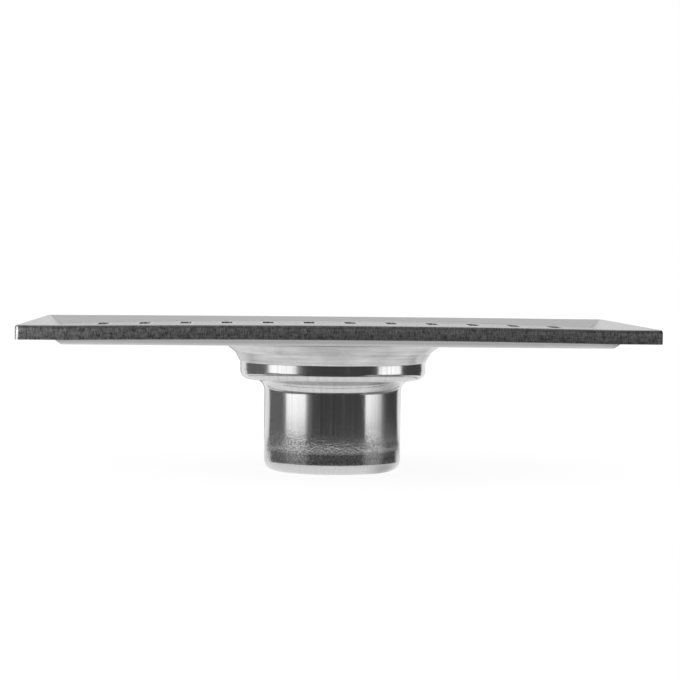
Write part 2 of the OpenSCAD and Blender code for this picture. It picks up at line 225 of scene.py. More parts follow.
def level_card(name, length, depth, middle, material):
    """A level sheet of that length and depth, about its middle."""
    shape = bmesh.new()
    bmesh.ops.create_grid(shape, x_segments=1, y_segments=1, size=0.5)
    bmesh.ops.scale(shape, vec=(length, depth, 1.0), verts=shape.verts)
    bmesh.ops.translate(shape, vec=middle, verts=shape.verts)
    hidden_card(name, shape, material)


black_felt = card_colour("black_felt", 0.07)
grey_felt = card_colour("grey_felt", 0.16)
slate_felt = card_colour("slate_felt", 0.27)
print("card greys:", ", ".join((black_felt.name, grey_felt.name, slate_felt.name)))

# %% [markdown]
# ## Standing cards
# The wide black card stands behind the camera and gives the dark middle of the spigot and the dark skirt of
# the frame. The two at the sides darken the spigot's left and right edges. The two corner cards hang at the
# height of the skirt and darken its rounded corners, and leave the lamps free below them.

# %% Standing cards
STANDING_CARDS = (
    # name, from and to in degrees, distance and height of the foot and of the top in metres, material
    ("card_front", -62, 66, (1.0, CARD_FOOT), (1.0, 0.35), black_felt),
    ("card_front_upper", -62, 66, (1.0, 0.35), (1.0, 1.6), slate_felt),
    ("card_corner_right", 38, 87, (0.20, 0.041), (0.20, 0.30), black_felt),
    ("card_corner_left", -54, -38, (0.20, 0.044), (0.20, 0.30), black_felt),
    ("card_right", 86, 139, (0.45, CARD_FOOT), (0.45, 0.5), black_felt),
    ("card_left", -135, -88, (0.45, CARD_FOOT), (0.45, 0.5), grey_felt),
)
for card in STANDING_CARDS:
    bent_card(*card)
print(len(STANDING_CARDS), "standing cards")

# %% [markdown]
# ## A strip and four scrims
# The spigot shows one faint pale line in its dark middle: the gap between two cards, here a narrow grey
# strip. The inner edge of its left stripe is soft, as a lamp's edge is behind gauze. Four narrow scrims
# beside the lamp, each darker than the last, draw that soft edge.

# %% Strip and scrims
SCREEN_TOP = 0.30         # metres
STRIP_DISTANCE = 0.22
SCRIM_DISTANCE = 0.224
SCRIMS = (
    # name, from and to in degrees, brightness
    ("scrim_48", -48, -44.5, 1.2),
    ("scrim_44", -44.5, -41, 0.42),
    ("scrim_41", -41, -37.5, 0.20),
    ("scrim_37", -37.5, -31, 0.12),
)

bent_card("strip_front", 13.5, 15.5, (STRIP_DISTANCE, CARD_FOOT), (STRIP_DISTANCE, SCREEN_TOP),
          card_colour("grey_strip", 0.14))
for name, start, end, level in SCRIMS:
    bent_card(name, start, end, (SCRIM_DISTANCE, CARD_FOOT), (SCRIM_DISTANCE, SCREEN_TOP),
              card_colour(name, level))
print(len(SCRIMS), "scrims, each darker than the last")

# %% [markdown]
# ## Backdrop, ceiling and a dark board overhead
# The level cover mirrors what stands behind the drain, and the slopes of the rim mirror what hangs above.
# The backdrop and the ceiling are a little dimmer than the room, or the plate would melt into the white
# background, and the dark board gives the slopes their grey.

# %% Backdrop, ceiling and overhead board
BACKDROP_LEVEL = 0.80
CEILING_LEVEL = 0.72

bent_card("backdrop", 143, 215, (1.5, CARD_FOOT), (1.5, 1.2),
          card_colour("backdrop_paper", BACKDROP_LEVEL))
level_card("ceiling", 1.8, 1.8, (0, 0.7, 1.15), card_colour("ceiling_paper", CEILING_LEVEL))
level_card("card_overhead", 2.0, 1.1, (0, -0.42, 1.0), black_felt)
print("backdrop", BACKDROP_LEVEL, "and ceiling", CEILING_LEVEL, "of full white")

# %% [markdown]
# ## Cloths on the floor
# The camera looks down by a few degrees, so the lower half of the spigot mirrors the floor and not the
# cards behind it. Dark cloths on the floor carry each dark field on. Two dim papers lie in front of the
# lamps, so that each bright stripe fades low on the wall and doesn't meet the white floor. The outermost
# edge of a cylinder mirrors what is straight behind it, so a rear cloth and a low card behind it draw the
# thin dark outlines of the collar and the spigot.

# %% Cloths and papers
FRONT_CLOTH_HEIGHT = 0.0005      # metres: each kind lies a little higher, so that none meets another
CLOTH_HEIGHT = 0.0008
PAPER_HEIGHT = 0.0012
CLOTH_EDGE = 0.45                # where the cloths meet the foot of the standing cards
PAPER_EDGE = 0.22                # just beyond the lamps

dim_paper = card_colour("dim_paper", 0.2)
level_card("cloth_front", 2.4, 1.0, (0, -0.60, FRONT_CLOTH_HEIGHT), black_felt)
FLOOR_CARDS = (
    # name, from and to in degrees, inner and outer distance, height, material
    ("glow_right", 50, 85, 0.115, PAPER_EDGE, PAPER_HEIGHT, dim_paper),
    ("glow_left", -84, -43, 0.115, PAPER_EDGE, PAPER_HEIGHT, dim_paper),
    ("cloth_right", 86, 136, 0.135, CLOTH_EDGE, CLOTH_HEIGHT, black_felt),
    ("cloth_left", -131, -85, 0.128, CLOTH_EDGE, CLOTH_HEIGHT, grey_felt),
    ("cloth_rear", 163, 199, 0.07, CLOTH_EDGE, CLOTH_HEIGHT, grey_felt),
)
for name, start, end, inner, outer, height, material in FLOOR_CARDS:
    bent_card(name, start, end, (inner, height), (outer, height), material)
bent_card("card_rear", 163, 199, (CLOTH_EDGE, CARD_FOOT), (CLOTH_EDGE, 0.045), grey_felt)
print(len(FLOOR_CARDS) + 1, "cards on the floor")

# %% [markdown]
# ## Low rings close to the spigot
# The last millimetres above the spigot's rounded lip are dark in the photograph. They mirror only what is
# very near and very low, so a ring a few millimetres high stands 11 mm off the wall, in greys that change
# round it. A slightly paler second ring on top of it softens its upper edge. A row of low fences further
# out hides the bare white floor from the wall just above that.

# %% Rings and fences
RING_DISTANCE = 0.036     # metres
RING_HEIGHT = 0.0048
RING_TOP = 0.0062         # the upper ring ends here
RING_STEP = 0.06          # how much paler the upper ring is
RINGS = (
    # name, from and to in degrees, brightness
    ("near_front", -30, 34, 0.08),
    ("near_left", -57, -30, 0.26),
    ("near_right", 34, 59, 0.26),
    ("near_left_rear", -92, -57, 0.16),
    ("near_right_rear", 59, 95, 0.08),
)

dusk_paper = card_colour("dusk_paper", 0.26)
for name, start, end, level in RINGS:
    bent_card(name, start, end, (RING_DISTANCE, CARD_FOOT), (RING_DISTANCE, RING_HEIGHT),
              card_colour(name, level))
    bent_card(name + "_top", start, end, (RING_DISTANCE, RING_HEIGHT), (RING_DISTANCE, RING_TOP),
              card_colour(name + "_top", level + RING_STEP))

FENCES = (
    # name, from and to in degrees, distance, height, material
    ("fence_front", -46, 50, 0.095, 0.010, black_felt),
    ("fence_right", 50, 86, 0.088, 0.0095, dusk_paper),
    ("fence_left", -86, -46, 0.088, 0.0095, dusk_paper),
    ("fence_right_rear", 86, 136, 0.088, 0.0045, black_felt),
    ("fence_left_rear", -131, -86, 0.088, 0.0045, grey_felt),
)
for name, start, end, distance, height, material in FENCES:
    bent_card(name, start, end, (distance, CARD_FOOT), (distance, height), material)
print(len(RINGS), "ring pieces and", len(FENCES), "fences")

# %% [markdown]
# ## Two softboxes
# The bright stripes on the collar and the spigot are the mirror images of two softboxes, one on each side
# of the drain. Each is an area lamp, bright enough that the steel shows just under white in the middle of
# its stripe. Light passes through an area lamp from behind, so the white room would add to it. A black card
# stands behind each lamp and keeps the stripe even.

# %% Softboxes
def softbox(name, start, end, distance, height, radiance):
    """An upright area lamp on the floor, facing the drain, between two angles counted as on the cards."""
    middle = math.radians((start + end) / 2)
    width = 2 * distance * math.tan(math.radians(end - start) / 2)
    lamp = bpy.data.lights.new(name, "AREA")
    lamp.shape = "RECTANGLE"
    lamp.size = width
    lamp.size_y = height
    lamp.energy = radiance * math.pi * width * height
    box = bpy.data.objects.new(name, lamp)
    bpy.context.scene.collection.objects.link(box)
    place = Matrix.Translation((distance * math.sin(middle), -distance * math.cos(middle), height / 2))
    box.matrix_world = place @ Matrix.Rotation(middle, 4, "Z") @ Matrix.Rotation(math.radians(90), 4, "X")
    box.visible_camera = False


LAMP_DISTANCE = 0.21        # metres
BACK_DISTANCE = 0.2235      # just behind the ends of the flat lamps
LEFT_HEIGHT = 0.12
RIGHT_HEIGHT = 0.041        # low, so that the skirt above doesn't mirror this lamp
SOFTBOXES = (
    # name, from and to in degrees, height, radiance
    ("softbox_left", -82.5, -47.5, LEFT_HEIGHT, 1.48),
    ("softbox_right", 51.8, 84.7, RIGHT_HEIGHT, 1.56),
)
LAMP_BACKS = (
    # name, from and to in degrees, height
    ("softbox_left_back", -84.0, -48.0, LEFT_HEIGHT),
    ("softbox_right_back", 51.5, 85.0, RIGHT_HEIGHT),
)
for name, start, end, height, radiance in SOFTBOXES:
    softbox(name, start, end, LAMP_DISTANCE, height, radiance)
    print(name, "is", round(end - start), "degrees wide as the drain sees it")
for name, start, end, height in LAMP_BACKS:
    bent_card(name, start, end, (BACK_DISTANCE, CARD_FOOT), (BACK_DISTANCE, height), black_felt)

# %% [markdown]
# ## Lines in steel
# Nearly every mark on this drain is a line: a scratch from the brushing belt, a draw mark from the press, a
# ring from the lathe. One pattern draws them all. Noise is squeezed hard in one direction and stretched in
# the other, so it changes quickly across a line and hardly along it. A second function ends each steel: it
# joins a tone, a roughness and a relief to one metal shader. Steel has no colour of its own here, since the
# photograph is in greys, so a tone from 0 to 1 between two greys is enough. Noise seldom leaves the middle
# of its range, so that middle is stretched before use: the narrower it is taken, the harder the contrast.

# %% Streaks and the steel shader
NOISE_ROUGHNESS = 0.6       # how strong the finer noise is in the coarser
SOFT_CONTRAST = {"From Min": 0.30, "From Max": 0.70}
PLAIN_CONTRAST = {"From Min": 0.35, "From Max": 0.65}
CRISP_CONTRAST = {"From Min": 0.36, "From Max": 0.64}


def streaks(tree, across, along, thickness, run, seed=0.0):
    """Noise in lines: thickness across a line and run along it, in the units of across and along."""
    place = add(tree, "ShaderNodeCombineXYZ", {"X": across, "Y": along, "Z": seed})
    stretched = add(tree, "ShaderNodeVectorMath", {0: place, 1: (1 / thickness, 1 / run, 1.0)},
                    operation="MULTIPLY")
    return add(tree, "ShaderNodeTexNoise", {"Vector": stretched, "Scale": 1.0, "Detail": 3.0,
                                            "Roughness": NOISE_ROUGHNESS})


def steel_skin(tree, tone, roughness, relief, depth, strength, dark="#000000", light="#ffffff"):
    """The metal shader with its output: relief is a pattern of heights, and depth its full height."""
    colour = add(tree, "ShaderNodeMix", {"Factor": tone, "A": srgb(dark), "B": srgb(light)},
                 data_type="RGBA")
    bump = add(tree, "ShaderNodeBump", {"Height": relief, "Distance": depth, "Strength": strength})
    skin = add(tree, "ShaderNodeBsdfPrincipled", {"Base Color": colour, "Metallic": 1.0,
                                                  "Roughness": roughness, "Normal": bump})
    add(tree, "ShaderNodeOutputMaterial", {"Surface": skin})


print("two functions: the lines, and the steel that they lie in")

# %% [markdown]
# ## Steel, brushed
# The frame is rolled stainless sheet, 1 mm thick, brushed with an abrasive belt. The belt leaves fine
# parallel scratches, which run down the skirt where the edge is folded down, so the front skirt shows
# upright streaks. A material doesn't know skirt from rim, but it does know which way the surface faces and
# how high it lies. From these it finds the walls, the underside, the ends and the corners, and how far
# below the crest a point is. The crest bows up a little in the middle of the front edge, so the bow is
# worked out first.

# %% Where a point lies on the frame
RIM_HEIGHT = 54.4 * MM          # the crest of the frame's rim at its ends
FRONT_RISE = 0.7 * MM           # how much higher the crest is in the middle of the front edge
BACK_RISE = 0.21 * MM           # and in the middle of the back edge
PAN_HALF_LENGTH = 95.2 * MM     # the rise starts at the ends of the pan floor
FRAME_DEPTH = 130 * MM

brushed_steel, tree = new_material("brushed_stainless_sheet")
where = add(tree, "ShaderNodeTexCoord")
xyz = add(tree, "ShaderNodeSeparateXYZ", {0: where.outputs["Object"]})
x, y, z = (xyz.outputs[axis] for axis in "XYZ")
facing = add(tree, "ShaderNodeSeparateXYZ", {0: where.outputs["Normal"]})
facing_up = facing.outputs["Z"]
facing_end = add(tree, "ShaderNodeMath", {0: facing.outputs["X"]}, operation="ABSOLUTE")
facing_side = add(tree, "ShaderNodeMath", {0: facing.outputs["Y"]}, operation="ABSOLUTE")

# The bow is a parabola along X, and shrinks from the front edge to the back edge.
along = add(tree, "ShaderNodeMath", {0: x, 1: PAN_HALF_LENGTH}, operation="DIVIDE")
squared = add(tree, "ShaderNodeMath", {0: along, 1: along}, operation="MULTIPLY")
left_over = add(tree, "ShaderNodeMath", {0: 1.0, 1: squared}, operation="SUBTRACT")
parabola = add(tree, "ShaderNodeMath", {0: left_over, 1: 0.0}, operation="MAXIMUM")
deep = add(tree, "ShaderNodeMath", {0: y, 1: FRAME_DEPTH}, operation="DIVIDE")
deep = add(tree, "ShaderNodeMath", {0: deep, 1: 0.5}, operation="ADD")
full_rise = add(tree, "ShaderNodeMapRange", {"Value": deep, "To Min": FRONT_RISE, "To Max": BACK_RISE})
rise = add(tree, "ShaderNodeMath", {0: parabola, 1: full_rise}, operation="MULTIPLY")
crest = add(tree, "ShaderNodeMath", {0: rise, 1: RIM_HEIGHT}, operation="ADD")
fall = add(tree, "ShaderNodeMath", {0: crest, 1: z}, operation="SUBTRACT")
print("the crest rises", FRONT_RISE, "m at the front and", BACK_RISE, "m at the back")

# %% [markdown]
# ## Walls, ends and corners
# Each mask is 1 on its part of the frame and 0 elsewhere, with a short soft edge, so that no line shows
# where two finishes meet. An upright wall faces up by 0 and a level sheet by 1. The rim slopes at 31
# degrees, whose cosine is 0.86, and it may not count as a wall, so the mask of the walls ends below that.

# %% Masks on the frame
FADE_OUT = {"To Min": 1.0, "To Max": 0.0}
RIM_BEGINS = {"From Min": 0.64, "From Max": 0.83}
UNDERSIDE_ENDS = {"From Min": -0.5, "From Max": -0.2}
END_BEGINS = {"From Min": 0.7, "From Max": 0.8}
CORNER_BEGINS = {"From Min": 0.15, "From Max": 0.35}

not_rim = add(tree, "ShaderNodeMapRange", {"Value": facing_up, **RIM_BEGINS, **FADE_OUT})
not_under = add(tree, "ShaderNodeMapRange", {"Value": facing_up, **UNDERSIDE_ENDS})
under = add(tree, "ShaderNodeMapRange", {"Value": facing_up, **UNDERSIDE_ENDS, **FADE_OUT})
wall = add(tree, "ShaderNodeMath", {0: not_rim, 1: not_under}, operation="MULTIPLY")
end_wall = add(tree, "ShaderNodeMapRange", {"Value": facing_end, **END_BEGINS})
turned_x = add(tree, "ShaderNodeMapRange", {"Value": facing_end, **CORNER_BEGINS})
turned_y = add(tree, "ShaderNodeMapRange", {"Value": facing_side, **CORNER_BEGINS})
corner = add(tree, "ShaderNodeMath", {0: turned_x, 1: turned_y}, operation="MULTIPLY")
print("masks: wall, end wall, underside and corner")

# %% [markdown]
# ## The brushed streaks
# On the walls three patterns are mixed: short fine strokes, broader ones, and blotches where the belt
# pressed unevenly. The strokes run up and down, so the pattern is thin along X, or along Y on the walls at
# the two ends.

# %% Strokes on the walls
SHORT_STROKE = (0.45 * MM, 1.8 * MM)      # across and along
BROAD_STROKE = (1.5 * MM, 4 * MM)
BLOTCH = (2.4 * MM, 0.9 * MM)
BROAD_SHARE = 0.28
BLOTCH_SHARE = 0.32
STROKE_CONTRAST = {"From Min": 0.40, "From Max": 0.57}

across = add(tree, "ShaderNodeMix", {"Factor": end_wall, "A": x, "B": y})
short = streaks(tree, across, z, *SHORT_STROKE)
broad = streaks(tree, across, z, *BROAD_STROKE, seed=4.0)
blotch = streaks(tree, across, z, *BLOTCH, seed=9.0)
strokes = add(tree, "ShaderNodeMix", {"Factor": BROAD_SHARE, "A": short, "B": broad})
strokes = add(tree, "ShaderNodeMix", {"Factor": BLOTCH_SHARE, "A": strokes, "B": blotch})
stroke = add(tree, "ShaderNodeMapRange", {"Value": strokes, **STROKE_CONTRAST})
print("strokes:", SHORT_STROKE[0], "and", BROAD_STROKE[0], "m across")

# %% [markdown]
# ## Light and dark on the frame
# A deeper scratch is darker. The wall also darkens at the fold under the crest and again towards its foot.
# The level parts get faint long lines instead. The outer slope of the pan, which shows as a pale band under
# the skirt, is shaded by the skirt in front of it.

# %% Tones of the frame
STROKE_TONES = {"To Min": 0.42, "To Max": 1.0}        # in a deep stroke, and between strokes
# How far below the crest a point of the wall is, and its share of light there
FOLD_SHADE = {"From Min": 0.9 * MM, "From Max": 1.4 * MM, "To Min": 0.60, "To Max": 1.04}
FOOT_SHADE = {"From Min": 1.2 * MM, "From Max": 4.0 * MM, "To Min": 1.0, "To Max": 0.76}
# How high a point of the slope is, and its share of light there
SLOPE_SHADE = {"From Min": 47.4 * MM, "From Max": 48.6 * MM, "To Min": 0.92, "To Max": 0.60}
FAINT_LINE = (0.5 * MM, 45 * MM)                      # across and along
LEVEL_TONES = {"To Min": 0.60, "To Max": 0.66}

wall_tone = add(tree, "ShaderNodeMapRange", {"Value": stroke, **STROKE_TONES})
fold_tone = add(tree, "ShaderNodeMapRange", {"Value": fall, **FOLD_SHADE})
foot_tone = add(tree, "ShaderNodeMapRange", {"Value": fall, **FOOT_SHADE})
shaded = add(tree, "ShaderNodeMath", {0: fold_tone, 1: foot_tone}, operation="MULTIPLY")
wall_tone = add(tree, "ShaderNodeMath", {0: wall_tone, 1: shaded}, operation="MULTIPLY")

side = add(tree, "ShaderNodeMath", {0: y, 1: z}, operation="ADD")
faint = streaks(tree, side, x, *FAINT_LINE, seed=2.0)
level_tone = add(tree, "ShaderNodeMapRange", {"Value": faint, **CRISP_CONTRAST, **LEVEL_TONES})
slope_tone = add(tree, "ShaderNodeMapRange", {"Value": z, **SLOPE_SHADE})
slope_tone = add(tree, "ShaderNodeMix", {"Factor": under, "A": 1.0, "B": slope_tone})
level_tone = add(tree, "ShaderNodeMath", {0: level_tone, 1: slope_tone}, operation="MULTIPLY")
tone = add(tree, "ShaderNodeMix", {"Factor": wall, "A": level_tone, "B": wall_tone})
print("tones:", STROKE_TONES["To Min"], "to", STROKE_TONES["To Max"], "on the walls")

# %% [markdown]
# ## Gloss and relief of the frame
# A deeper scratch is duller too, so the same strokes set the roughness. The bump is only a hundredth of a
# millimetre deep, and there is none away from the walls.

# %% Gloss and relief of the frame
STROKE_ROUGHNESS = {"To Min": 0.27, "To Max": 0.43}
LEVEL_ROUGHNESS = 0.24
CORNER_ROUGHNESS = 0.14       # the corners are polished after they are bent
STROKE_DEPTH = 0.012 * MM
STROKE_STRENGTH = 0.6

dullness = add(tree, "ShaderNodeMapRange", {"Value": stroke, **STROKE_ROUGHNESS})
dullness = add(tree, "ShaderNodeMix", {"Factor": corner, "A": dullness, "B": CORNER_ROUGHNESS})
roughness = add(tree, "ShaderNodeMix", {"Factor": wall, "A": LEVEL_ROUGHNESS, "B": dullness})
relief = add(tree, "ShaderNodeMath", {0: short, 1: wall}, operation="MULTIPLY")
steel_skin(tree, tone, roughness, relief, STROKE_DEPTH, STROKE_STRENGTH)
print("brushed steel: strokes", STROKE_DEPTH, "m deep")

# %% [markdown]
# ## Steel, drawn and polished
# The bowl is drawn from one disc in several steps. Where the sheet was pulled tight over the tool, on the
# collar and the upper spigot, it is nearly a mirror. The wide cone and the short ring above were only
# pickled and are satin. The lowest part of the spigot was squeezed in the last step and is rough, with
# fine scratches round it and a mottled bloom. Height decides which finish a point gets, and a large soft
# noise moves the edge of the rough zone up and down, because no such edge is straight.

# %% Zones of the bowl
ROUGH_ZONE = {"From Min": 9.8 * MM, "From Max": 16.8 * MM}      # full below, and none above
LIP_ZONE = {"From Min": 2.5 * MM, "From Max": 4.5 * MM}         # the rounded lip below is smooth again
COLLAR_ZONE = {"From Min": 32.5 * MM, "From Max": 33.5 * MM}    # from the shoulder up
SATIN_ZONE = {"From Min": 39.7 * MM, "From Max": 40.2 * MM}     # from the short ring up
BLOOM_SIZE = MM / 0.11       # 9 mm
BLOOM_SWING = 7 * MM         # the bloom moves the edge of the rough zone by a part of this

drawn_steel, tree = new_material("drawn_stainless")
where = add(tree, "ShaderNodeTexCoord")
xyz = add(tree, "ShaderNodeSeparateXYZ", {0: where.outputs["Object"]})
height = xyz.outputs["Z"]
angle = add(tree, "ShaderNodeMath", {0: xyz.outputs["Y"], 1: xyz.outputs["X"]}, operation="ARCTAN2")

bloom = add(tree, "ShaderNodeTexNoise", {"Vector": where.outputs["Object"], "Scale": 1 / BLOOM_SIZE,
                                         "Detail": 3.0, "Roughness": NOISE_ROUGHNESS})
swing = add(tree, "ShaderNodeMath", {0: bloom, 1: 0.5}, operation="SUBTRACT")
swing = add(tree, "ShaderNodeMath", {0: swing, 1: BLOOM_SWING}, operation="MULTIPLY")
swung = add(tree, "ShaderNodeMath", {0: height, 1: swing}, operation="ADD")
below_edge = add(tree, "ShaderNodeMapRange", {"Value": swung, **ROUGH_ZONE, **FADE_OUT})
above_lip = add(tree, "ShaderNodeMapRange", {"Value": height, **LIP_ZONE})
rough_share = add(tree, "ShaderNodeMath", {0: below_edge, 1: above_lip}, operation="MULTIPLY")
collar_share = add(tree, "ShaderNodeMapRange", {"Value": height, **COLLAR_ZONE})
satin_share = add(tree, "ShaderNodeMapRange", {"Value": height, **SATIN_ZONE})
print("zones of the bowl: rough, polished, collar and satin, from the lip upwards")

# %% [markdown]
# ## The worn side of the spigot, and its painted shade
# On its right the spigot has been handled: the polish is duller there. The bright stripe also fades out to
# the right, and that fade is painted shade, a darker tone on that side. The angle round the axis marks that
# side. It is counted from the X axis, which points to the right, so the front lies at minus 90 degrees. The
# collar above is left out.

# %% Worn side, with painted shade
WEAR_AND_SHADE_BEGINS = {"From Min": math.radians(-63), "From Max": math.radians(-46)}
WEAR_AND_SHADE_ENDS = {"From Min": math.radians(-38), "From Max": math.radians(-20)}
FULL_WEAR_AND_SHADE = 0.7

# This mask serves both the duller polish and the painted shade on that side
worn_shaded_from = add(tree, "ShaderNodeMapRange", {"Value": angle, **WEAR_AND_SHADE_BEGINS, "To Max": FULL_WEAR_AND_SHADE})
worn_shaded_to = add(tree, "ShaderNodeMapRange", {"Value": angle, **WEAR_AND_SHADE_ENDS, **FADE_OUT})
worn_and_shaded_side = add(tree, "ShaderNodeMath", {0: worn_shaded_from, 1: worn_shaded_to}, operation="MULTIPLY")
below_collar = add(tree, "ShaderNodeMath", {0: 1.0, 1: collar_share}, operation="SUBTRACT")
worn_and_shaded_side = add(tree, "ShaderNodeMath", {0: worn_and_shaded_side, 1: below_collar}, operation="MULTIPLY")
print("worn side: wear up to", FULL_WEAR_AND_SHADE)

# %% [markdown]
# ## The drawn surface
# Four patterns make it: upright draw marks, fine rings from the last tool, broad rings on the satin part,
# and a mottle like orange peel. The real mottle is finer than a pixel of the picture, so it is drawn as
# coarse as it needs to show.

# %% Patterns of the bowl
SPIGOT_RADIUS = 25 * MM
DRAW_MARK = (0.45 * MM, 60 * MM)       # across and along
FINE_RING = (0.3 * MM, 1.3)            # the height of a ring, and its run in radians
BROAD_RING = (1.3 * MM, 0.9)
MOTTLE_SIZE = MM / 1.45                # 0.7 mm

mottle = add(tree, "ShaderNodeTexNoise", {"Vector": where.outputs["Object"], "Scale": 1 / MOTTLE_SIZE,
                                          "Detail": 2.5, "Roughness": NOISE_ROUGHNESS})
around = add(tree, "ShaderNodeMath", {0: angle, 1: SPIGOT_RADIUS}, operation="MULTIPLY")
drawn = streaks(tree, around, height, *DRAW_MARK, seed=5.0)
rings = streaks(tree, height, angle, *FINE_RING, seed=2.0)
band = streaks(tree, height, angle, *BROAD_RING, seed=12.0)
print("mottle:", round(MOTTLE_SIZE, 5), "m across")

# %% [markdown]
# ## Gloss of the bowl
# Each zone gets its own roughness from the patterns. Then the shares of the zones mix them into one, from
# the spigot up to the satin part.

# %% Gloss of the bowl
SPIGOT_ROUGHNESS = {"To Min": 0.13, "To Max": 0.18}
COLLAR_ROUGHNESS = {"To Min": 0.14, "To Max": 0.19}
RUBBED_ROUGHNESS = {"To Min": 0.14, "To Max": 0.22}
WORN_ROUGHNESS = 0.30
SATIN_ROUGHNESS = 0.27
RUBBED_CONTRAST = {"From Min": 0.38, "From Max": 0.62}
MOTTLE_IN_GLOSS = 0.6

spigot = add(tree, "ShaderNodeMapRange", {"Value": drawn, **PLAIN_CONTRAST, **SPIGOT_ROUGHNESS})
spigot = add(tree, "ShaderNodeMix", {"Factor": worn_and_shaded_side, "A": spigot, "B": WORN_ROUGHNESS})
collar = add(tree, "ShaderNodeMapRange", {"Value": rings, **PLAIN_CONTRAST, **COLLAR_ROUGHNESS})
polished = add(tree, "ShaderNodeMix", {"Factor": collar_share, "A": spigot, "B": collar})
rubbed = add(tree, "ShaderNodeMix", {"Factor": MOTTLE_IN_GLOSS, "A": rings, "B": mottle})
rubbed = add(tree, "ShaderNodeMapRange", {"Value": rubbed, **RUBBED_CONTRAST, **RUBBED_ROUGHNESS})
roughness = add(tree, "ShaderNodeMix", {"Factor": rough_share, "A": polished, "B": rubbed})
roughness = add(tree, "ShaderNodeMix", {"Factor": satin_share, "A": roughness, "B": SATIN_ROUGHNESS})
print("roughness:", SPIGOT_ROUGHNESS["To Min"], "where polished,", SATIN_ROUGHNESS, "where satin")

# %% [markdown]
# ## Light, dark and relief on the bowl
# The tones are mixed in the same way. Only the rough zone has a relief, so its share takes the bump away
# everywhere else, and the polished steel keeps clean mirror images.

# %% Tones and relief of the bowl
POLISHED_TONES = {"To Min": 0.55, "To Max": 0.68}
# Painted shade: on the worn side the tone is darkened, so that its bright stripe fades out
SIDE_SHADE_TONE = 0.62                       # of the tone that a clean polish has
RUBBED_TONES = {"To Min": 0.38, "To Max": 0.68}
SATIN_TONES = {"To Min": 0.44, "To Max": 0.68}
SATIN_CONTRAST = {"From Min": 0.34, "From Max": 0.66}
MOTTLE_IN_TONE = 0.75
BLOOM_IN_SATIN = 0.35
MOTTLE_IN_RELIEF = 0.97
MOTTLE_DEPTH = 0.065 * MM

bright = add(tree, "ShaderNodeMapRange", {"Value": drawn, **SOFT_CONTRAST, **POLISHED_TONES})
# Painted shade: the darker tone of the worn side dims its stripe towards the right
side_shade = add(tree, "ShaderNodeMapRange", {"Value": worn_and_shaded_side, "From Max": FULL_WEAR_AND_SHADE, "To Min": 1.0,
                                        "To Max": SIDE_SHADE_TONE})
bright = add(tree, "ShaderNodeMath", {0: bright, 1: side_shade}, operation="MULTIPLY")
rubbed = add(tree, "ShaderNodeMix", {"Factor": MOTTLE_IN_TONE, "A": rings, "B": mottle})
rubbed = add(tree, "ShaderNodeMapRange", {"Value": rubbed, **CRISP_CONTRAST, **RUBBED_TONES})
satin = add(tree, "ShaderNodeMix", {"Factor": BLOOM_IN_SATIN, "A": band, "B": bloom})
satin = add(tree, "ShaderNodeMapRange", {"Value": satin, **SATIN_CONTRAST, **SATIN_TONES})
tone = add(tree, "ShaderNodeMix", {"Factor": rough_share, "A": bright, "B": rubbed})
tone = add(tree, "ShaderNodeMix", {"Factor": satin_share, "A": tone, "B": satin})

relief = add(tree, "ShaderNodeMix", {"Factor": MOTTLE_IN_RELIEF, "A": rings, "B": mottle})
relief = add(tree, "ShaderNodeMath", {0: relief, 1: rough_share}, operation="MULTIPLY")
steel_skin(tree, tone, roughness, relief, MOTTLE_DEPTH, 1.0)
print("drawn steel: relief", MOTTLE_DEPTH, "m deep in the rough zone")

# %% [markdown]
# ## Steel, satin cover
# The cover, its stiffening bars and the strainer are brushed lengthwise, which gives a softer, paler
# surface than the frame has. The same streak pattern serves again, now along X. Round the edge of each slot
# a paler band is painted in: a painted highlight, standing for the glint of the lit slot walls. That band is
# found by working out the distance to the nearest slot: the slots repeat at an even pitch, so the remainder
# of X over the pitch says where a point lies beside its slot. The slots stand half a pitch off the middle of
# the cover.

# %% Painted glints round the slots
SLOT_PITCH = 15.65 * MM
SLOT_WIDTH = 4.1 * MM
SLOT_LENGTH = 20 * MM
ROW_PLACE = 33.3 * MM       # from the middle of the cover to the middle of a row
PITCHES_TO_END = 6          # half of a row of twelve
# Painted highlight: the width of the pale band round each slot, which stands for the glint of its lit walls
GLINT_WIDTH = 1.8 * MM        # drawn wider than a real lip, so that it shows

satin_steel, tree = new_material("satin_stainless_cover")
where = add(tree, "ShaderNodeTexCoord")
xyz = add(tree, "ShaderNodeSeparateXYZ", {0: where.outputs["Object"]})
x, y, z = (xyz.outputs[axis] for axis in "XYZ")

column = add(tree, "ShaderNodeMath", {0: x, 1: SLOT_PITCH}, operation="DIVIDE")
column = add(tree, "ShaderNodeMath", {0: column}, operation="FRACT")
off_x = add(tree, "ShaderNodeMath", {0: column, 1: 0.5}, operation="SUBTRACT")
off_x = add(tree, "ShaderNodeMath", {0: off_x}, operation="ABSOLUTE")
off_x = add(tree, "ShaderNodeMath", {0: off_x, 1: SLOT_PITCH}, operation="MULTIPLY")
off_x = add(tree, "ShaderNodeMath", {0: off_x, 1: SLOT_WIDTH / 2}, operation="SUBTRACT")

off_y = add(tree, "ShaderNodeMath", {0: y}, operation="ABSOLUTE")
off_y = add(tree, "ShaderNodeMath", {0: off_y, 1: ROW_PLACE}, operation="SUBTRACT")
off_y = add(tree, "ShaderNodeMath", {0: off_y}, operation="ABSOLUTE")
off_y = add(tree, "ShaderNodeMath", {0: off_y, 1: SLOT_LENGTH / 2}, operation="SUBTRACT")

